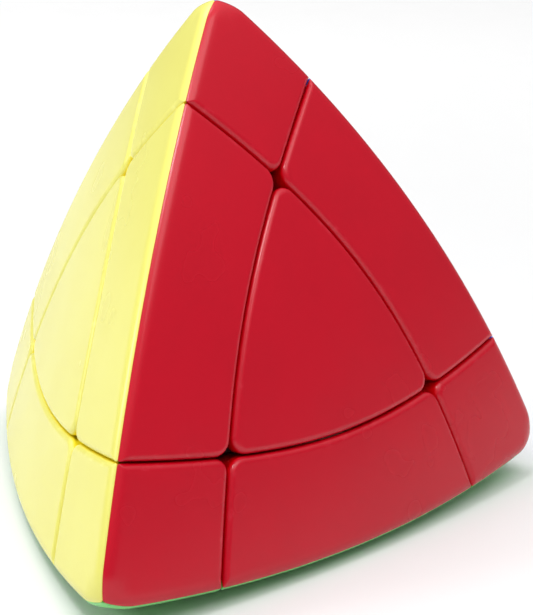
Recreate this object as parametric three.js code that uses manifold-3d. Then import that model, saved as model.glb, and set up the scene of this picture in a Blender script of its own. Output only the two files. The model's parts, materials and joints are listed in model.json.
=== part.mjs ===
// Domed four-face twisty puzzle: a rounded tetrahedron whose four face layers turn about a hidden core.
// Millimetres, +Z up. The origin is the centre of the flat at the crown of the green face, which the
// puzzle stands on, so the core centre is straight above it and the tip opposite points up.

import * as THREE from 'three';
import { ConvexGeometry } from 'three/addons/geometries/ConvexGeometry.js';
import { mergeVertices } from 'three/addons/utils/BufferGeometryUtils.js';
import Module from 'manifold-3d';

const wasm = await Module();
wasm.setup();

// ---- driving dimensions -------------------------------------------------------------------------

const FACE_HEIGHT = 24;          // core centre to the crown of each domed face
const FACE_DROP = 0.00164;       // fall of the dome per square millimetre of distance from its crown
const TIP_RADIUS = 55.1;         // core centre to the rounded-off tips
const REST_FLAT_RADIUS = 9;      // to the corners of the flat triangle at the crown of each face

const CUT_HEIGHT = 12.9;         // where a layer's conical cut meets the turning axis
const CUT_SLOPE = 0.2745;        // how much the cut falls inwards for each millimetre outwards
const FOOT_CUT_HEIGHT = 10;      // the same cut between the feet, nearer to the core
// The segments are multiples of three, so that a third of a turn maps each cut on itself.
const FACE_CUT = { height: CUT_HEIGHT, segments: 36 };
const CAVITY_CUT = { height: CUT_HEIGHT, segments: 18 };
const FOOT_CUT = { height: FOOT_CUT_HEIGHT, segments: 24 };
const FOOT_OUTER_RADIUS = 24.6;  // round track that the feet run in, under the caps
const FOOT_INNER_RADIUS = 20;
const EDGE_SHELL_FLOOR = 26;     // the coloured shells start this far from the core centre
const CORNER_SHELL_FLOOR = 29;

const JUNCTION_RADIUS = 24.3;    // from the crown of a face to where two cuts cross on it
const JUNCTION_SIZE = 1.6;       // half the width of the hole that is left open there
const JUNCTION_FLOOR = 28;       // the hole ends this far from the core centre

const RUNNING_GAP = 0.36;        // between pieces that turn past each other
const TRACK_GAP = 0.44;          // between round faces: feet under caps, and shells over waists
const SEAM_GAP = 0.12;           // between two coloured shells of one piece
const FIT_GAP = 0.15;            // between clipped parts of one piece
const WALL = 1.5;                // coloured shells
const CAP_WALL = 1.2;

// Pegs that the shells plug on: how far each leans from the piece's middle towards its own face.
const EDGE_PEG = { radius: 1.4, lean: 0.16, top: 29.8 };
const CORNER_PEG = { radius: 1.2, lean: 0.12, top: 35.5 };

const CORE_RADIUS = 9.5;
const ARM_RADIUS = 4.5;
const ARM_END = 12;              // distances along a turning axis, from the core centre
const SCREW_END = 6;
const PILOT_END = 5;
const POST_RADIUS = 6.5;
const STEM_END = 18;             // the hub widens from its post here
const POST_END = ARM_END + RUNNING_GAP;
const SPRING_SEAT = 14.3;
const BORE_RADIUS = 4.2;
const WASHER_SEAT = 17.4;
const WASHER_THICKNESS = 0.4;
const WASHER_RADIUS = 3.8;
const HEAD_RADIUS = 3.2;
const HEAD_HEIGHT = 2;
const SHANK_RADIUS = 1.2;
const SCREW_HOLE_RADIUS = 1.9;
const SLOT_WIDTH = 1;
const SLOT_DEPTH = 0.9;
const SPRING_RADIUS = 2.9;       // to the middle of the wire
const SPRING_WIRE_RADIUS = 0.3;
const SPRING_TURNS = 2.5;
const CLIP_RADIUS = BORE_RADIUS - FIT_GAP;
const CLIP_WALL = 0.9;
const CLIP_DEPTH = 2.2;

const DOME_SEGMENTS = 18;
const DOME_RINGS = [16, 32, 58];  // radii at which the faceted dome has its corners
const BALL_DETAIL = 4;
const ROUND_SEGMENTS = 18;
const REACH = 70;                // cutting solids extend past the puzzle this far
const OVERLAP = 1;               // length by which joined solids run into each other
const WELD = 1e-4;
const SHORTEST_EDGE = 0.004;

// ---- faces and colours --------------------------------------------------------------------------

const FACES = {
  green: new THREE.Vector3(0, 0, -1),
  red: new THREE.Vector3(0, -Math.sqrt(8) / 3, 1 / 3),
  yellow: new THREE.Vector3(-Math.sqrt(2 / 3), Math.sqrt(2) / 3, 1 / 3),
  blue: new THREE.Vector3(Math.sqrt(2 / 3), Math.sqrt(2) / 3, 1 / 3),
};
const COLOURS = Object.keys(FACES);
const others = (...used) => COLOURS.filter((colour) => !used.includes(colour));

const plastic = (color) => () => new THREE.MeshStandardMaterial({ color, roughness: 0.42, metalness: 0 });
const steel = () => new THREE.MeshStandardMaterial({ color: 0xb9bcc0, roughness: 0.3, metalness: 0.9 });
const SHELL_PLASTIC = {
  green: plastic(0x6fc072),
  red: plastic(0xc4202f),
  yellow: plastic(0xf6f07c),
  blue: plastic(0x2f62c9),
};
const innerPlastic = plastic(0xdededa);
const corePlastic = plastic(0xe8e8e6);

// ---- solids -------------------------------------------------------------------------------------

// A closed geometry with its shared corners merged becomes a solid for joining and cutting.
function solidOf(geometry) {
  const bare = geometry.index ? geometry.toNonIndexed() : geometry.clone();
  bare.deleteAttribute('normal');
  bare.deleteAttribute('uv');
  const merged = mergeVertices(bare, WELD);
  const corners = merged.index.array;
  const triangles = [];
  for (let i = 0; i < corners.length; i += 3) {
    const [a, b, c] = corners.slice(i, i + 3);
    if (a !== b && b !== c && c !== a) triangles.push(a, b, c);
  }
  return new wasm.Manifold(new wasm.Mesh({
    numProp: 3,
    vertProperties: new Float32Array(merged.attributes.position.array),
    triVerts: new Uint32Array(triangles),
  }));
}

// The short edges that joins and cuts leave behind are merged first.
function geometryOf(solid) {
  const mesh = solid.asOriginal().simplify(SHORTEST_EDGE).getMesh();
  const geometry = new THREE.BufferGeometry();
  geometry.setAttribute('position', new THREE.BufferAttribute(mesh.vertProperties, mesh.numProp));
  geometry.setIndex(new THREE.BufferAttribute(mesh.triVerts, 1));
  geometry.computeVertexNormals();
  return geometry;
}

const join = (solids) => solids.reduce((whole, next) => whole.add(next));
const common = (solids) => solids.reduce((whole, next) => whole.intersect(next));
const cut = (solid, tools) => tools.reduce((rest, tool) => rest.subtract(tool), solid);

// The frame of a face has its z axis along the face's turning axis and its x axis towards a tip.
function faceFrame(colour) {
  const axis = FACES[colour];
  const tip = FACES[others(colour)[0]].clone().negate();
  const x = tip.addScaledVector(axis, -tip.dot(axis)).normalize();
  const y = new THREE.Vector3().crossVectors(axis, x);
  return new THREE.Matrix4().makeBasis(x, y, axis);
}

// A profile of [radius, height] points, anticlockwise, turned about a face's axis.
function turnedGeometry(profile, segments) {
  const points = profile.map(([radius, height]) => new THREE.Vector2(radius, height));
  return new THREE.LatheGeometry(points, segments).rotateX(Math.PI / 2);
}

function turned(colour, profile, segments = ROUND_SEGMENTS) {
  return solidOf(turnedGeometry(profile, segments).applyMatrix4(faceFrame(colour)));
}

const disc = (bottom, top, radius) => [[0, bottom], [radius, bottom], [radius, top], [0, top]];
const ring = (bottom, top, inner, outer) =>
  [[inner, bottom], [outer, bottom], [outer, top], [inner, top], [inner, bottom]];

const ball = (radius) => solidOf(new THREE.IcosahedronGeometry(radius, BALL_DETAIL));

// Everything on a face's side of its conical cut, with the cut moved outwards by the given margin.
function layer(colour, { height, segments }, margin) {
  const apex = height + margin * Math.hypot(1, CUT_SLOPE);
  const rim = apex - CUT_SLOPE * REACH;
  return turned(colour, [[0, apex], [REACH, rim], [REACH, REACH], [0, REACH]], segments);
}

const domeHeight = (radius) => FACE_HEIGHT - FACE_DROP * radius * radius;

// Points evenly round a face's axis.
function roundPoints(colour, count, radius, height) {
  const frame = faceFrame(colour);
  return Array.from({ length: count }, (_, i) => {
    const angle = (2 * Math.PI * i) / count;
    return new THREE.Vector3(radius * Math.cos(angle), radius * Math.sin(angle), height).applyMatrix4(frame);
  });
}

// Everything below a face's dome, moved inwards by the given inset. The crown is a flat triangle,
// so that the puzzle stands on three points.
function dome(colour, inset) {
  const rings = DOME_RINGS.map((radius) => [radius, domeHeight(radius) - inset]);
  const [rim, rimHeight] = rings[rings.length - 1];
  rings.push([REACH, rimHeight - (REACH - rim)], [REACH, -REACH]);
  const flat = roundPoints(colour, 3, REST_FLAT_RADIUS, domeHeight(REST_FLAT_RADIUS) - inset);
  const round = rings.flatMap(([radius, height]) => roundPoints(colour, DOME_SEGMENTS, radius, height));
  return solidOf(new ConvexGeometry([...flat, ...round]));
}

const wholeBody = (inset) =>
  common([ball(TIP_RADIUS - inset), ...COLOURS.map((colour) => dome(colour, inset))]);

// The part of a solid that lies in the layers of all the given faces and in no others.
function inLayers(solid, faces, cone, margin) {
  const inside = common([solid, ...faces.map((colour) => layer(colour, cone, margin))]);
  return cut(inside, others(...faces).map((colour) => layer(colour, cone, -margin)));
}

// A rod along a direction from the core centre, round or with fewer sides.
function rod(direction, radius, bottom, top, sides = ROUND_SEGMENTS) {
  const blank = new THREE.CylinderGeometry(radius, radius, top - bottom, sides);
  blank.translate(0, (top + bottom) / 2, 0);
  const turn = new THREE.Quaternion().setFromUnitVectors(new THREE.Vector3(0, 1, 0), direction);
  return solidOf(blank.applyQuaternion(turn));
}

// Towards each tip of a face two cuts cross. The four pieces have blunt corners there, which leave
// a four-sided hole between them. Its corners lie along the two cuts.
function junctionHoles(colour, radius) {
  const axis = FACES[colour];
  return others(colour).map((across) => {
    const tip = FACES[across].clone().negate();
    const outwards = tip.addScaledVector(axis, -tip.dot(axis)).normalize();
    const direction = axis.clone().multiplyScalar(domeHeight(JUNCTION_RADIUS));
    direction.addScaledVector(outwards, JUNCTION_RADIUS).normalize();
    return rod(direction, radius, JUNCTION_FLOOR, REACH, 4);
  });
}

// A piece's share of the body, drawn in by a wall on the outside, at every cut and round the holes.
function shareOf(faces, cone, wall) {
  const share = inLayers(wholeBody(wall), faces, cone, RUNNING_GAP / 2 + wall);
  return cut(share, faces.flatMap((colour) => junctionHoles(colour, JUNCTION_SIZE + wall)));
}

const outerShare = (faces) => shareOf(faces, FACE_CUT, 0);
const innerShare = (faces, wall) => shareOf(faces, CAVITY_CUT, wall);

const hollowBall = (inner, outer) => ball(outer).subtract(ball(inner));

// A piece's share of the track ring under the caps, and the neck that joins it to the outside.
const track = ball(FOOT_OUTER_RADIUS - TRACK_GAP / 2);
const footShare = (solid, faces) => inLayers(solid, faces, FOOT_CUT, RUNNING_GAP / 2);

function neckShare(faces, shell) {
  const band = hollowBall(FOOT_OUTER_RADIUS - OVERLAP, FOOT_OUTER_RADIUS + OVERLAP);
  return footShare(band, faces).intersect(shell);
}

// The side of a seam plane that is nearer to one face than to another, beyond a margin.
function nearerSide(colour, other, margin) {
  const normal = FACES[colour].clone().sub(FACES[other]).normalize();
  const block = new THREE.BoxGeometry(2 * REACH, 2 * REACH, REACH);
  block.translate(0, 0, REACH / 2 + margin);
  const turn = new THREE.Quaternion().setFromUnitVectors(new THREE.Vector3(0, 0, 1), normal);
  return solidOf(block.applyQuaternion(turn));
}

// ---- pieces, each made once about the core centre -----------------------------------------------

// One coloured half of an edge piece, or third of a corner piece: a thin cup, open to the inside.
function colouredShell(faces, floor) {
  const [colour, ...rest] = faces;
  const block = common([outerShare(faces), ...rest.map((other) => nearerSide(colour, other, SEAM_GAP / 2))]);
  const room = common([innerShare(faces, WALL), ...rest.map((other) => nearerSide(colour, other, WALL))]);
  return cut(block, [room, ball(floor + TRACK_GAP)]);
}

// The inner half of an edge or corner piece: a foot in the track, a solid waist and a peg for each shell.
function foot(faces, floor, { radius, lean, top }) {
  const share = outerShare(faces);
  const waist = common([share, hollowBall(FOOT_OUTER_RADIUS + TRACK_GAP / 2, floor)]);
  const middle = faces.reduce((sum, colour) => sum.add(FACES[colour]), new THREE.Vector3()).normalize();
  const pegs = faces.map((colour) => {
    const direction = middle.clone().addScaledVector(FACES[colour], lean).normalize();
    return rod(direction, radius, floor - OVERLAP, top);
  });
  const tread = footShare(track.subtract(ball(FOOT_INNER_RADIUS)), faces);
  return join([tread, neckShare(faces, share), waist, ...pegs]);
}

// The hub that turns on the core's arm: a post with the spring in it, widening to hold the feet.
function centerBase(colour) {
  const inside = innerShare([colour], CAP_WALL + FIT_GAP);
  const flange = inside.subtract(ball(FOOT_OUTER_RADIUS + TRACK_GAP / 2));
  const underside = domeHeight(REST_FLAT_RADIUS) - CAP_WALL - FIT_GAP;
  const stem = footShare(track, [colour]).intersect(turned(colour, disc(STEM_END, underside, REACH)));
  const post = turned(colour, disc(POST_END, STEM_END + OVERLAP, POST_RADIUS));
  const bore = turned(colour, disc(SPRING_SEAT, REACH, BORE_RADIUS));
  const hole = turned(colour, disc(0, REACH, SCREW_HOLE_RADIUS));
  return cut(join([stem, neckShare([colour], inside), flange, post]), [bore, hole]);
}

// The coloured cap that clips into the hub's bore and hides the screw: a domed cup over the flange.
function centerCap(colour) {
  const middle = ball(FOOT_OUTER_RADIUS + TRACK_GAP / 2).intersect(wholeBody(CAP_WALL));
  const cup = cut(outerShare([colour]), [innerShare([colour], CAP_WALL), middle]);
  const underside = domeHeight(REST_FLAT_RADIUS) - CAP_WALL;
  const clip = ring(underside - CLIP_DEPTH, underside + CAP_WALL / 2, CLIP_RADIUS - CLIP_WALL, CLIP_RADIUS);
  return cup.add(turned(colour, clip));
}

function core() {
  const arms = COLOURS.map((colour) => turned(colour, disc(0, ARM_END, ARM_RADIUS)));
  const pilots = COLOURS.map((colour) =>
    turned(colour, disc(PILOT_END, REACH, SHANK_RADIUS + FIT_GAP)));
  return cut(join([solidOf(new THREE.IcosahedronGeometry(CORE_RADIUS, 1)), ...arms]), pilots);
}

function screw(colour) {
  const seat = WASHER_SEAT + WASHER_THICKNESS + FIT_GAP;
  const top = seat + HEAD_HEIGHT;
  const blank = turned(colour, [[0, SCREW_END], [SHANK_RADIUS, SCREW_END + SHANK_RADIUS],
    [SHANK_RADIUS, seat], [HEAD_RADIUS, seat], [HEAD_RADIUS, top], [0, top]]);
  const slots = [0, Math.PI / 2].map((turn) => {
    const bar = new THREE.BoxGeometry(1.2 * HEAD_RADIUS, SLOT_WIDTH, 2 * SLOT_DEPTH);
    bar.rotateZ(turn).translate(0, 0, top);
    return solidOf(bar.applyMatrix4(faceFrame(colour)));
  });
  return cut(blank, slots);
}

const washer = (colour) => turned(colour, ring(WASHER_SEAT, WASHER_SEAT + WASHER_THICKNESS,
  SHANK_RADIUS + FIT_GAP, WASHER_RADIUS));

// An open coil of round wire between the hub's floor and the washer.
function spring(colour) {
  const bottom = SPRING_SEAT + FIT_GAP + SPRING_WIRE_RADIUS;
  const top = WASHER_SEAT - FIT_GAP - SPRING_WIRE_RADIUS;
  class Helix extends THREE.Curve {
    getPoint(t, target = new THREE.Vector3()) {
      const angle = 2 * Math.PI * SPRING_TURNS * t;
      return target.set(SPRING_RADIUS * Math.cos(angle), SPRING_RADIUS * Math.sin(angle),
        bottom + (top - bottom) * t);
    }
  }
  const section = new THREE.Shape().absarc(0, 0, SPRING_WIRE_RADIUS, 0, 2 * Math.PI);
  const steps = 8 * SPRING_TURNS;
  const wire = new THREE.ExtrudeGeometry(section, { steps, curveSegments: 3, extrudePath: new Helix() });
  return solidOf(wire.applyMatrix4(faceFrame(colour)));
}

// ---- placing ------------------------------------------------------------------------------------

// Every copy of a piece is the first one turned about the core centre, so that its first face
// and its second face land on the two faces asked for.
function pairFrame(first, second) {
  const x = FACES[first];
  const y = FACES[second].clone().addScaledVector(x, -x.dot(FACES[second])).normalize();
  return new THREE.Matrix4().makeBasis(x, y, new THREE.Vector3().crossVectors(x, y));
}

function turnBetween(from, to) {
  const back = pairFrame(...from).transpose();
  return new THREE.Quaternion().setFromRotationMatrix(pairFrame(...to).multiply(back));
}

const puzzle = new THREE.Group();
const centre = new THREE.Group();
centre.position.z = domeHeight(REST_FLAT_RADIUS);
puzzle.add(centre);

function place(name, geometry, material, turn) {
  const mesh = new THREE.Mesh(geometry, material());
  mesh.name = name;
  if (turn) mesh.quaternion.copy(turn);
  centre.add(mesh);
}

place('core', geometryOf(core()), corePlastic);

// Centres: the first one is made on the red axis and turned to the other three.
const hub = geometryOf(centerBase('red'));
const cap = geometryOf(centerCap('red'));
const screwShape = geometryOf(screw('red'));
const washerShape = geometryOf(washer('red'));
const springShape = geometryOf(spring('red'));
for (const colour of COLOURS) {
  const turn = turnBetween(['red', 'yellow'], [colour, others(colour)[0]]);
  place(`${colour}_tension_screw`, screwShape, steel, turn);
  place(`${colour}_washer`, washerShape, steel, turn);
  place(`${colour}_spring`, springShape, steel, turn);
  place(`${colour}_center_base`, hub, innerPlastic, turn);
  place(`${colour}_center_cap`, cap, SHELL_PLASTIC[colour], turn);
}

// Edges: the first one lies between red and yellow, and half a turn swaps its two halves.
const edgeFoot = geometryOf(foot(['red', 'yellow'], EDGE_SHELL_FLOOR, EDGE_PEG));
const edgeShell = geometryOf(colouredShell(['red', 'yellow'], EDGE_SHELL_FLOOR));
const EDGES = [['red', 'yellow'], ['red', 'green'], ['red', 'blue'],
  ['yellow', 'green'], ['yellow', 'blue'], ['green', 'blue']];
for (const pair of EDGES) {
  const name = `${pair.join('_')}_edge`;
  place(`${name}_foot`, edgeFoot, innerPlastic, turnBetween(['red', 'yellow'], pair));
  for (const [colour, other] of [pair, [pair[1], pair[0]]]) {
    const turn = turnBetween(['red', 'yellow'], [colour, other]);
    place(`${name}_${colour}_shell`, edgeShell, SHELL_PLASTIC[colour], turn);
  }
}

// Corners: the first one is opposite the green face, and each is named by its three faces.
const cornerFaces = ['red', 'yellow', 'blue'];
const cornerFoot = geometryOf(foot(cornerFaces, CORNER_SHELL_FLOOR, CORNER_PEG));
const cornerShell = geometryOf(colouredShell(cornerFaces, CORNER_SHELL_FLOOR));
for (const opposite of COLOURS) {
  const faces = ['red', 'yellow', 'green', 'blue'].filter((colour) => colour !== opposite);
  const name = `${faces.join('_')}_corner`;
  place(`${name}_foot`, cornerFoot, innerPlastic, turnBetween(['red', 'green'], [faces[0], opposite]));
  for (const colour of faces) {
    const turn = turnBetween(['red', 'green'], [colour, opposite]);
    place(`${name}_${colour}_shell`, cornerShell, SHELL_PLASTIC[colour], turn);
  }
}

export default puzzle;
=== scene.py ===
import json
import math

import bpy
import numpy as np
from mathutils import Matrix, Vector


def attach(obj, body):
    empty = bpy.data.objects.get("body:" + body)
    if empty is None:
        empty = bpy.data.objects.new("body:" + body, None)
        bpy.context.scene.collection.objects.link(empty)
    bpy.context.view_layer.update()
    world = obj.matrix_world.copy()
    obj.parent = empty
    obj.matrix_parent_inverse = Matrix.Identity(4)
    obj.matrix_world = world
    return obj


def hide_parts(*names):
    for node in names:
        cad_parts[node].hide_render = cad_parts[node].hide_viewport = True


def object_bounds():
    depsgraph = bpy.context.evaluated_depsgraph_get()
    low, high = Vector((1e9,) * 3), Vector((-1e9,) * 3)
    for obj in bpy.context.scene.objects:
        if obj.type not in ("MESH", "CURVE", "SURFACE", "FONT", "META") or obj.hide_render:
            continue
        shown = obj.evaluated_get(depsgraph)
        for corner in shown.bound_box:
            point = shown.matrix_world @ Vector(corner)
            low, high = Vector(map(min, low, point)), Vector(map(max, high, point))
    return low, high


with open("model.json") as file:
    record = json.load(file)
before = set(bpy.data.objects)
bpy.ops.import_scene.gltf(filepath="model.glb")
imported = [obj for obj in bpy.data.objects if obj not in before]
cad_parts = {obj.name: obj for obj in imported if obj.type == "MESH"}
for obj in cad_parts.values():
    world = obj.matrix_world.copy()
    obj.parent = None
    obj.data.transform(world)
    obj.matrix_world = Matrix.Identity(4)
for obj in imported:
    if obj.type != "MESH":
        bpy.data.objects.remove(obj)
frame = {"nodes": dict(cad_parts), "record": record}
cad_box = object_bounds()

# Looks for the domed four-face twisty puzzle. Every coloured cap and shell is built again here as a
# fine mesh with rounded edges. Shapes are worked out in millimetres about the core centre.

MM = 0.001

# ---- sizes that the CAD model also has ------------------------------------------------------------

FACE_HEIGHT = 24.0
FACE_DROP = 0.00164
REST_FLAT_RADIUS = 9.0
CUT_HEIGHT = 12.9
CUT_SLOPE = 0.2745
RUNNING_GAP = 0.26      # this gap and the next are a little narrower than in the CAD model
SEAM_GAP = 0.02
TRACK_GAP = 0.44
CAP_FLOOR = 24.6 + TRACK_GAP / 2
EDGE_FLOOR = 26.0 + TRACK_GAP
CORNER_FLOOR = 29.0 + TRACK_GAP
WALL = 1.5
CAP_WALL = 1.2
CLIP_RADIUS = 4.05
CLIP_WALL = 0.9
CLIP_DEPTH = 2.2

# Directions near the middle of an edge tile and of a corner tile, measured from the face's axis.
EDGE_LEAN = math.radians(43.5)
CORNER_LEAN = math.radians(61.5)

# ---- roundings ------------------------------------------------------------------------------------

EDGE_ROUND = 2.2         # along the tetrahedron's edges, half of it on each colour
TILE_CORNER_ROUND = 2.2  # outline of an edge or corner tile where two cuts cross
CAP_CORNER_ROUND = 2.9   # the same on a centre cap
SEAM_CORNER_ROUND = 0.3  # outline of a tile where a cut meets a seam
CUT_LIP = 0.9            # rounded lip of a tile along a cut
SEAM_LIP = 0.05          # the same along the seam between two colours
LIP_BLEND = 1.2          # length over which one lip turns into the other
RIM_ROUND = 0.25         # bottom rim of a wall, outside
CLIP_CHAMFER = 0.3
ROOF_CLEARANCE = 0.06    # least height of an underside above the floor ball
ROOF_STEP = 0.3          # from the wall's inside to the first ring of the underside

# ---- mesh -----------------------------------------------------------------------------------------

RAYS = 240               # points of each ring
OUTLINE_RAYS = 960       # points of the outline that the rays are shared out along
CORNER_WEIGHT = 6.0      # millimetres of outline that one radian of bend is worth in that
WIDEST_REACH = 1.1       # tangent of the widest angle between a ray and its tile's middle
SURFACE_STEPS = 12
HALVINGS = 26
SLOPE_STEP = 1e-3        # millimetres, for the surface's slope
INSETS = (0.12, 0.3, 0.55, 0.85, 1.2, 1.6, 2.1, 2.7)    # rings near the lip, in millimetres
FRACTIONS = (0.88, 0.74, 0.58, 0.42, 0.27, 0.14, 0.05)  # rings nearer to the middle
WALL_FRACTIONS = (0.3, 0.65)
RIM_FRACTIONS = (0.0, 0.5, 1.0)
SHELL_ROOF_FRACTIONS = (0.7, 0.4, 0.15)
CAP_ROOF_FRACTIONS = (0.8, 0.55)
LIP_STEPS = 6
CREASE = math.radians(40)

FACES = {
    "green": np.array([0.0, 0.0, -1.0]),
    "red": np.array([0.0, -math.sqrt(8) / 3, 1 / 3]),
    "yellow": np.array([-math.sqrt(2 / 3), math.sqrt(2) / 3, 1 / 3]),
    "blue": np.array([math.sqrt(2 / 3), math.sqrt(2) / 3, 1 / 3]),
}
COLOURS = ("red", "yellow", "green", "blue")


def dome_height(radius):
    return FACE_HEIGHT - FACE_DROP * radius * radius


CORE_HEIGHT = dome_height(REST_FLAT_RADIUS)
TIP_RADIUS = cad_box[1].z / MM - CORE_HEIGHT


def unit(v):
    return v / np.linalg.norm(v, axis=-1, keepdims=True)


def smooth_step(share):
    share = np.clip(share, 0, 1)
    return share * share * (3 - 2 * share)


# ---- depths: distances from a surface, positive inside ---------------------------------------------


def along_and_across(points, face):
    along = points @ FACES[face]
    across = np.sqrt(np.maximum((points * points).sum(1) - along * along, 0.0))
    return along, across


def dome_depth(points, face):
    along, across = along_and_across(points, face)
    slope = 2 * FACE_DROP * across
    return (dome_height(across) - along) / np.sqrt(1 + slope * slope)


def layer_depth(points, face):
    """Distance past the conical cut of a face's layer."""
    along, across = along_and_across(points, face)
    return (along - CUT_HEIGHT + CUT_SLOPE * across) / math.hypot(1, CUT_SLOPE)


def seam_depth(points, face, other):
    """Distance from the plane that is as near to one face as to the other."""
    return points @ unit(FACES[face] - FACES[other])


def rounded(depths, radius):
    """The depth of what all the surfaces bound together, with its corners rounded."""
    depths = np.array(depths)
    least = depths.min(0)
    short = np.maximum(radius - depths, 0.0)
    return np.where(least >= radius, least, radius - np.sqrt((short * short).sum(0)))


def body_depth(points):
    tip = TIP_RADIUS - np.linalg.norm(points, axis=1)
    return rounded([dome_depth(points, face) for face in FACES] + [tip], EDGE_ROUND)


def surface(directions):
    """Points of the rounded body along directions from the core centre."""
    radius = np.full(len(directions), TIP_RADIUS)
    for face in FACES:
        along, across = along_and_across(directions, face)
        bend = FACE_DROP * across * across + 1e-9
        crossing = (np.sqrt(along * along + 4 * bend * FACE_HEIGHT) - along) / (2 * bend)
        radius = np.minimum(radius, crossing)
    for _ in range(SURFACE_STEPS):
        radius += body_depth(directions * radius[:, None])
    return directions * radius[:, None]


def outward(points):
    """Unit normals of the body's surface."""
    steps = SLOPE_STEP * np.eye(3)
    slopes = [body_depth(points - step) - body_depth(points + step) for step in steps]
    return unit(np.stack(slopes, 1))


# ---- tiles: what one face shows of one piece -------------------------------------------------------


class Tile:
    """One coloured cap or shell. Its rings of points run along rays about a middle direction."""

    def __init__(self, face, neighbours, lean, floor, wall):
        self.face = face
        self.neighbours = neighbours
        self.floor = floor
        self.wall = wall
        towards = sum((FACES[n] for n in neighbours or ("yellow",)), np.zeros(3))
        aside = unit(towards - (towards @ FACES[face]) * FACES[face])
        self.middle = math.cos(lean) * FACES[face] + math.sin(lean) * aside
        self.x = math.cos(lean) * aside - math.sin(lean) * FACES[face]
        self.y = np.cross(self.middle, self.x)
        self.angles = self.spread_rays()
        self.lip = self.lip_sizes()

    def depth(self, points):
        """Distance inside the tile's outline: its cuts, and its seams to the piece's other colours."""
        cuts = []
        for other in FACES:
            if other != self.face:
                sign = 1 if other in self.neighbours else -1
                cuts.append(sign * layer_depth(points, other) - RUNNING_GAP / 2)
        outline = rounded(cuts, TILE_CORNER_ROUND if self.neighbours else CAP_CORNER_ROUND)
        seams = [seam_depth(points, self.face, n) - SEAM_GAP / 2 for n in self.neighbours]
        return rounded([outline, *seams], SEAM_CORNER_ROUND) if seams else outline

    def directions(self, angles, reach):
        sideways = np.cos(angles)[:, None] * self.x + np.sin(angles)[:, None] * self.y
        return unit(self.middle + reach[:, None] * sideways)

    def ring(self, point_at, inset=0.0, angles=None):
        """Points on the given surface where the outline is the inset away, and how far out they are."""
        angles = self.angles if angles is None else angles
        near = np.zeros(len(angles))
        far = np.full(len(angles), WIDEST_REACH)
        for _ in range(HALVINGS):
            reach = (near + far) / 2
            inside = self.depth(point_at(self.directions(angles, reach))) > inset
            near = np.where(inside, reach, near)
            far = np.where(inside, far, reach)
        return point_at(self.directions(angles, near)), near

    def spread_rays(self):
        """Ray angles that crowd where the outline bends."""
        dense = np.linspace(0, 2 * math.pi, OUTLINE_RAYS, endpoint=False)
        outline, _ = self.ring(surface, 0.0, dense)
        chord = np.roll(outline, -1, 0) - outline
        length = np.linalg.norm(chord, axis=1)
        heading = unit(chord)
        bend = np.arccos(np.clip((heading * np.roll(heading, 1, 0)).sum(1), -1, 1))
        weight = length + CORNER_WEIGHT * (bend + np.roll(bend, 1) + np.roll(bend, -1)) / 3
        total = np.concatenate([[0], np.cumsum(weight)])
        wanted = np.arange(RAYS) * total[-1] / RAYS
        return np.interp(wanted, total, np.append(dense, 2 * math.pi))

    def lip_sizes(self):
        """Radius of the rounded lip at each ray: wide along a cut, fine along a seam."""
        if not self.neighbours:
            return np.full(RAYS, CUT_LIP)
        outline, _ = self.ring(surface)
        seam = np.min([seam_depth(outline, self.face, n) for n in self.neighbours], 0)
        share = smooth_step((seam - SEAM_GAP / 2) / LIP_BLEND)
        return SEAM_LIP + (CUT_LIP - SEAM_LIP) * share

    def sunk(self, drop):
        """A surface that lies under the outside by a distance, which may differ from ray to ray."""
        def point_at(directions):
            top = surface(directions)
            return top - np.reshape(drop, (-1, 1)) * outward(top)
        return point_at

    def between(self, drop, share, floor):
        """A surface part of the way from a sunk one down to the floor ball."""
        def point_at(directions):
            top = np.linalg.norm(self.sunk(drop)(directions), axis=1)
            radius = top + share * (floor - top)
            return directions * radius[:, None]
        return point_at

    def top_rings(self):
        """From the middle outwards, then round the lip."""
        rings = []
        _, reach = self.ring(surface, self.lip + INSETS[-1])
        for fraction in reversed(FRACTIONS):
            rings.append(surface(self.directions(self.angles, reach * fraction)))
        for inset in reversed(INSETS):
            rings.append(self.ring(surface, self.lip + inset)[0])
        for step in range(LIP_STEPS + 1):
            turn = math.pi / 2 * step / LIP_STEPS
            inset = self.lip * (1 - math.sin(turn))
            drop = self.lip * (1 - math.cos(turn))
            rings.append(self.ring(self.sunk(drop), inset)[0])
        return rings

    def wall_rings(self):
        """Down the outside of the wall, round its rim and up the inside."""
        rings = [self.ring(self.between(self.lip, share, self.floor))[0] for share in WALL_FRACTIONS]
        rim = self.floor + RIM_ROUND
        for share in RIM_FRACTIONS:
            turn = math.pi / 2 * share
            radius = rim - RIM_ROUND * math.sin(turn)
            inset = RIM_ROUND * (1 - math.cos(turn))
            rings.append(self.ring(lambda d, r=radius: d * r, inset)[0])
        rings.append(self.ring(lambda d: d * self.floor, self.wall - RIM_ROUND)[0])
        rings.append(self.ring(lambda d: d * self.floor, self.wall)[0])
        return rings

    def roof(self, directions):
        """The underside, kept clear above the floor ball where the piece is thin."""
        under = self.sunk(self.wall)(directions)
        if not self.neighbours:
            return under
        radius = np.maximum(np.linalg.norm(under, axis=1), self.floor + ROOF_CLEARANCE)
        return directions * radius[:, None]

    def roof_rings(self):
        inner, reach = self.ring(self.roof, self.wall + ROOF_STEP)
        rings = [self.ring(self.roof, self.wall)[0], inner]
        fractions = SHELL_ROOF_FRACTIONS if self.neighbours else CAP_ROOF_FRACTIONS
        for fraction in fractions:
            rings.append(self.roof(self.directions(self.angles, reach * fraction)))
        return rings

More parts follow.
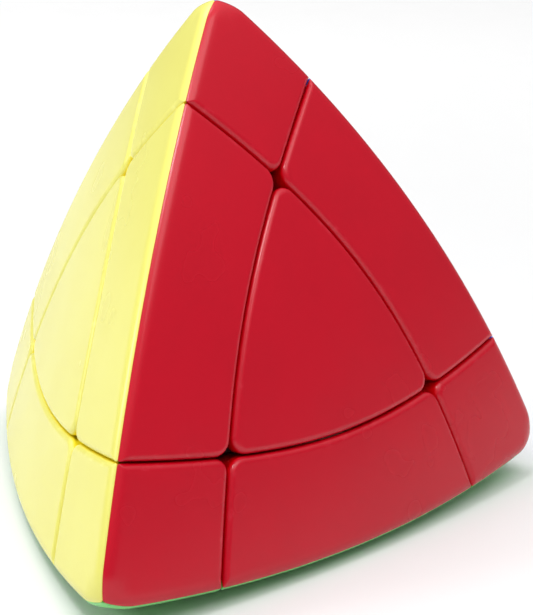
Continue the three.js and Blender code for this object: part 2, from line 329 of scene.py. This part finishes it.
    def clip_rings(self):
        """The round clip under a centre cap."""
        top = dome_height(CLIP_RADIUS) - CAP_WALL
        inner = CLIP_RADIUS - CLIP_WALL
        bottom = top - CLIP_DEPTH
        profile = [(CLIP_RADIUS, top), (CLIP_RADIUS, bottom + CLIP_CHAMFER),
                   (CLIP_RADIUS - CLIP_CHAMFER, bottom), (inner, bottom), (inner, top),
                   (inner / 2, top)]
        sideways = np.cos(self.angles)[:, None] * self.x + np.sin(self.angles)[:, None] * self.y
        return [radius * sideways + height * self.middle for radius, height in profile]

    def mesh(self):
        """(points, faces, marks) of the closed mesh. The mark rub is 1 on the lip. The mark wall rises
        to 1 down the lip and stays so under it; it places the painted glow of light on the cut walls."""
        top_rings = self.top_rings()
        rings = top_rings + self.wall_rings() + self.roof_rings()
        if not self.neighbours:
            rings += self.clip_rings()
        top = surface(self.middle[None])
        bottom = self.middle[None] * (rings[-1] @ self.middle).mean()
        points = np.concatenate([top, *rings, bottom])
        rub = np.zeros(len(points))
        start = 1 + (len(top_rings) - LIP_STEPS - 1) * RAYS
        rub[start:start + (LIP_STEPS + 1) * RAYS] = 1
        # The mark wall: where the cut walls get their painted glow of light.
        wall = np.ones(len(points))
        wall[:start] = 0
        for step in range(LIP_STEPS + 1):
            begin = start + step * RAYS
            wall[begin:begin + RAYS] = smooth_step(2 * step / LIP_STEPS - 1)
        faces = []
        for ray in range(RAYS):
            after = (ray + 1) % RAYS
            faces.append((0, 1 + ray, 1 + after))
            for level in range(len(rings) - 1):
                start = 1 + level * RAYS
                faces.append((start + ray, start + RAYS + ray, start + RAYS + after, start + after))
            last = 1 + (len(rings) - 1) * RAYS
            faces.append((last + ray, len(points) - 1, last + after))
        return points, faces, {"rub": rub, "wall": wall}


# ---- placing: the same turns about the core centre as in the CAD model -------------------------------


def pair_frame(first, second):
    x = FACES[first]
    y = unit(FACES[second] - (x @ FACES[second]) * x)
    return np.stack([x, y, np.cross(x, y)], 1)


def turn_between(start, end):
    return pair_frame(*end) @ pair_frame(*start).T


def placed(points, turn):
    """Points turned about the core centre, in metres, with nothing under the rest plane."""
    moved = points @ turn.T
    moved[:, 2] = np.maximum(moved[:, 2] + CORE_HEIGHT, 0.0)
    return moved * MM


def piece(node, body, shape, turn, material):
    points, faces, marks = shape
    mesh = bpy.data.meshes.new(node + "_moulding")
    mesh.from_pydata(placed(points, turn).tolist(), [], faces)
    for name, values in marks.items():
        mesh.attributes.new(name, "FLOAT", "POINT").data.foreach_set("value", values)
    mesh.shade_smooth()
    mesh.set_sharp_from_angle(angle=CREASE)
    mesh.materials.append(material)
    mesh.validate()
    obj = bpy.data.objects.new(node + "_moulding", mesh)
    bpy.context.scene.collection.objects.link(obj)
    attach(obj, body)
    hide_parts(node)
    return obj


# ---- materials -------------------------------------------------------------------------------------


def linear(red, green, blue):
    """An sRGB colour of 0 to 255 as a linear one."""
    values = [v / 255 for v in (red, green, blue)]
    return [v / 12.92 if v <= 0.04045 else ((v + 0.055) / 1.055) ** 2.4 for v in values] + [1.0]


class Nodes:
    """A short way to add nodes to a material."""

    def __init__(self, name):
        self.material = bpy.data.materials.new(name)
        self.material.use_nodes = True
        self.tree = self.material.node_tree
        self.shader = self.tree.nodes["Principled BSDF"]
        self.place = self.add("ShaderNodeTexCoord").outputs["Object"]

    def add(self, kind, **values):
        node = self.tree.nodes.new(kind)
        for name, value in values.items():
            if name in node.inputs:
                node.inputs[name].default_value = value
            else:
                setattr(node, name, value)
        return node

    def link(self, source, target):
        self.tree.links.new(source, target)

    def noise(self, size, detail=2.0, roughness=0.5):
        """Noise with features of about the given size in metres."""
        node = self.add("ShaderNodeTexNoise", Scale=1 / size, Detail=detail, Roughness=roughness)
        self.link(self.place, node.inputs["Vector"])
        return node.outputs["Fac"]

    def span(self, value, low, high, start=0.0, end=1.0):
        """A value's range from start to end mapped on low to high."""
        node = self.add("ShaderNodeMapRange", interpolation_type="SMOOTHSTEP")
        for socket, number in zip(("From Min", "From Max", "To Min", "To Max"), (start, end, low, high)):
            node.inputs[socket].default_value = number
        self.link(value, node.inputs["Value"])
        return node.outputs["Result"]

    def mix(self, share, first, second):
        node = self.add("ShaderNodeMix", data_type="RGBA")
        for socket, colour in ((node.inputs[6], first), (node.inputs[7], second)):
            if isinstance(colour, bpy.types.NodeSocket):
                self.link(colour, socket)
            else:
                socket.default_value = colour
        self.link(share, node.inputs[0])
        return node.outputs[2]

    def sum(self, first, second):
        node = self.add("ShaderNodeMath", operation="ADD")
        self.link(first, node.inputs[0])
        self.link(second, node.inputs[1])
        return node.outputs[0]

    def bump(self, height, distance, strength):
        node = self.add("ShaderNodeBump", Strength=strength, Distance=distance)
        self.link(height, node.inputs["Height"])
        return node.outputs["Normal"]


def moulded_plastic(name, colour, deep, worn, roughness=0.26, wall=None):
    """Satin moulded plastic: faint cloudy colour, orange peel, and edges rubbed a little paler. The cut
    walls take a deeper, more vivid colour: a painted glow of the light inside the cuts.
    """
    n = Nodes(name)
    rub = n.add("ShaderNodeMath", operation="MULTIPLY")
    n.link(n.add("ShaderNodeAttribute", attribute_name="rub").outputs["Fac"], rub.inputs[0])
    n.link(n.span(n.noise(0.002, 4.0, 0.6), 0.0, 0.5, 0.5, 0.75), rub.inputs[1])
    cloud = n.span(n.noise(0.012, 3.0), 0.0, 1.0, 0.35, 0.65)
    base = n.mix(rub.outputs[0], n.mix(cloud, colour, deep), worn)
    # Painted glow: where the mark wall is 1, the cut walls take the wall colour.
    inside = n.add("ShaderNodeAttribute", attribute_name="wall").outputs["Fac"]
    n.link(n.mix(inside, base, wall or deep), n.shader.inputs["Base Color"])
    fine, wide = 0.012, 0.015
    rough = n.span(n.noise(0.006, 1.0), roughness - fine, roughness + fine, 0.2, 0.8)
    smear = n.span(n.noise(0.025, 1.0), -wide, wide, 0.2, 0.8)
    n.link(n.sum(rough, smear), n.shader.inputs["Roughness"])
    n.link(n.bump(n.noise(0.0016, 1.0), 0.000008, 0.3), n.shader.inputs["Normal"])
    n.shader.inputs["IOR"].default_value = 1.45
    n.shader.inputs["Specular IOR Level"].default_value = 0.5
    return n.material


def drawn_steel(name, colour, size):
    """Plated steel with fine drawing marks."""
    n = Nodes(name)
    marks = n.noise(size, 6.0, 0.7)
    darker = [0.7 * c for c in colour[:3]] + [1.0]
    n.link(n.mix(n.span(marks, 0.0, 1.0, 0.3, 0.7), colour, darker), n.shader.inputs["Base Color"])
    n.link(n.span(marks, 0.22, 0.42, 0.3, 0.7), n.shader.inputs["Roughness"])
    n.link(n.bump(marks, 0.00001, 0.4), n.shader.inputs["Normal"])
    n.shader.inputs["Metallic"].default_value = 1.0
    return n.material


# Each wall colour, deeper and more vivid than its plastic, is a painted glow of the light in the cuts
# between pieces.
SHELL_MATERIALS = {
    "red": moulded_plastic("red_shell_plastic", linear(192, 6, 34), linear(189, 5, 33),
                           linear(204, 44, 62), wall=linear(206, 0, 8)),
    "yellow": moulded_plastic("yellow_shell_plastic", linear(225, 221, 112), linear(223, 218, 109),
                              linear(238, 236, 146), wall=linear(255, 236, 40)),
    "green": moulded_plastic("green_shell_plastic", linear(122, 206, 118), linear(116, 200, 112),
                             linear(148, 216, 146), wall=linear(92, 222, 82)),
    "blue": moulded_plastic("blue_shell_plastic", linear(24, 80, 190), linear(22, 74, 182),
                            linear(60, 112, 204), wall=linear(10, 84, 226)),
}
SLOT_MATERIALS = {
    "inner_plastic": moulded_plastic("inner_plastic", linear(226, 226, 222), linear(218, 218, 212),
                                     linear(238, 238, 236), 0.5),
    "core_plastic": moulded_plastic("core_plastic", linear(228, 228, 224), linear(220, 220, 215),
                                    linear(240, 240, 238), 0.5),
    "screw_steel": drawn_steel("screw_steel", [0.62, 0.63, 0.65, 1.0], 0.0008),
    "spring_steel": drawn_steel("spring_steel", [0.5, 0.51, 0.53, 1.0], 0.0004),
}


def finish_cad_nodes():
    """The hidden pieces keep their CAD shapes and get full materials."""
    for part in frame["record"]["subparts"]:
        material = SLOT_MATERIALS.get(part["material_slot"])
        if material:
            node = frame["nodes"][part["node"]]
            if not node.material_slots:
                node.data.materials.append(material)
            for holder in node.material_slots:
                holder.material = material


# ---- the puzzle ------------------------------------------------------------------------------------


def build_caps():
    shape = Tile("red", (), 0.0, CAP_FLOOR, CAP_WALL).mesh()
    for colour in COLOURS:
        second = next(c for c in ("green", "red", "yellow", "blue") if c != colour)
        turn = turn_between(("red", "yellow"), (colour, second))
        piece(f"{colour}_center_cap", f"{colour}_center", shape, turn,
              SHELL_MATERIALS[colour])


def build_edges():
    shape = Tile("red", ("yellow",), EDGE_LEAN, EDGE_FLOOR, WALL).mesh()
    pairs = [(a, b) for i, a in enumerate(COLOURS) for b in COLOURS[i + 1:]]
    for pair in pairs:
        name = "_".join(pair) + "_edge"
        for colour, other in (pair, pair[::-1]):
            turn = turn_between(("red", "yellow"), (colour, other))
            piece(f"{name}_{colour}_shell", name, shape, turn,
                  SHELL_MATERIALS[colour])


def build_corners():
    shape = Tile("red", ("yellow", "blue"), CORNER_LEAN, CORNER_FLOOR, WALL).mesh()
    for opposite in COLOURS:
        faces = [c for c in COLOURS if c != opposite]
        name = "_".join(faces) + "_corner"
        for colour in faces:
            turn = turn_between(("red", "green"), (colour, opposite))
            piece(f"{name}_{colour}_shell", name, shape, turn,
                  SHELL_MATERIALS[colour])


# ---- camera, light and floor ------------------------------------------------------------------------

CAMERA_AZIMUTH = -42.4
CAMERA_ELEVATION = 19.2
CAMERA_ROLL = 0.12
CAMERA_DISTANCE = 0.3257
CAMERA_LENS = 143.4
CAMERA_AIM_RIGHT = 0.0076  # the middle of the view, sideways and upwards from the core centre
CAMERA_AIM_UP = 0.0070

FLOOR_HALF = 3.0
FLOOR_DROP = 0.0001        # keeps the floor off the rest face
SKY_RAMP = (("From Min", 0.35), ("From Max", 0.85), ("To Min", 0.22), ("To Max", 0.95))

core_centre = Vector((0, 0, CORE_HEIGHT * MM))


def view_direction(azimuth, elevation):
    """From the puzzle towards a viewer at these angles in degrees, with azimuth 0 looking along +Y."""
    a, e = math.radians(azimuth), math.radians(elevation)
    return Vector((math.sin(a) * math.cos(e), -math.cos(a) * math.cos(e), math.sin(e)))


def make_camera():
    camera = bpy.data.objects.new("camera", bpy.data.cameras.new("camera"))
    camera.data.lens = CAMERA_LENS
    camera.data.sensor_fit = "HORIZONTAL"
    camera.data.sensor_width = 36
    camera.data.clip_start = 0.01
    camera.data.clip_end = 20
    back = view_direction(CAMERA_AZIMUTH, CAMERA_ELEVATION)
    camera.location = core_centre + CAMERA_DISTANCE * back
    right = Vector((0, 0, 1)).cross(back).normalized()
    up = back.cross(right)
    aim = core_centre + CAMERA_AIM_RIGHT * right + CAMERA_AIM_UP * up
    turn = (aim - camera.location).to_track_quat("-Z", "Y").to_matrix().to_4x4()
    camera.rotation_euler = turn.to_euler()
    camera.rotation_euler.rotate_axis("Z", math.radians(CAMERA_ROLL))
    bpy.context.scene.collection.objects.link(camera)
    bpy.context.scene.camera = camera


def soft_light(name, azimuth, elevation, distance, size, power):
    light = bpy.data.lights.new(name, "AREA")
    light.shape = "RECTANGLE"
    light.size, light.size_y = size
    light.energy = power
    lamp = bpy.data.objects.new(name, light)
    direction = view_direction(azimuth, elevation)
    lamp.location = core_centre + distance * direction
    lamp.rotation_euler = direction.to_track_quat("Z", "Y").to_euler()
    bpy.context.scene.collection.objects.link(lamp)


def make_floor():
    """A white floor, a little greyer near the puzzle, where the lights are strongest: painted shade that
    evens out their pool of light.
    """
    mesh = bpy.data.meshes.new("floor")
    half = FLOOR_HALF
    corners = [(-half, -half, 0), (half, -half, 0), (half, half, 0), (-half, half, 0)]
    mesh.from_pydata(corners, [], [(0, 1, 2, 3)])
    n = Nodes("pale_floor")
    away = n.add("ShaderNodeVectorMath", operation="LENGTH")
    n.link(n.place, away.inputs[0])
    # Painted shade: grey close to the puzzle, near white further out.
    share = n.span(away.outputs["Value"], 0.0, 1.0, 0.1, 0.4)
    painted_shade_tone = n.mix(share, (0.8, 0.8, 0.8, 1), (0.97, 0.97, 0.97, 1))
    n.link(painted_shade_tone, n.shader.inputs["Base Color"])
    n.link(n.span(n.noise(0.01, 2.0), 0.55, 0.65), n.shader.inputs["Roughness"])
    mesh.materials.append(n.material)
    floor = bpy.data.objects.new("floor", mesh)
    floor.location.z = -FLOOR_DROP
    bpy.context.scene.collection.objects.link(floor)


def make_world():
    """A white sky that is dim near the horizon."""
    world = bpy.data.worlds.new("studio")
    world.use_nodes = True
    tree = world.node_tree
    direction = tree.nodes.new("ShaderNodeTexCoord")
    split = tree.nodes.new("ShaderNodeSeparateXYZ")
    ramp = tree.nodes.new("ShaderNodeMapRange")
    for socket, number in SKY_RAMP:
        ramp.inputs[socket].default_value = number
    tree.links.new(direction.outputs["Generated"], split.inputs[0])
    tree.links.new(split.outputs["Z"], ramp.inputs["Value"])
    background = tree.nodes["Background"]
    background.inputs["Color"].default_value = (1, 1, 1, 1)
    tree.links.new(ramp.outputs["Result"], background.inputs["Strength"])
    bpy.context.scene.world = world
    bpy.context.scene.view_settings.view_transform = "Standard"


build_caps()
build_edges()
build_corners()
finish_cad_nodes()
make_camera()
make_floor()
make_world()
soft_light("left", -118, 28, 0.9, (0.15, 0.25), 1.7)
soft_light("front", -5, 62, 0.5, (0.35, 0.35), 0.8)
soft_light("top", -75, 64, 0.35, (0.07, 0.07), 0.36)
soft_light("back", 180, 60, 1.5, (0.9, 0.9), 6.5)
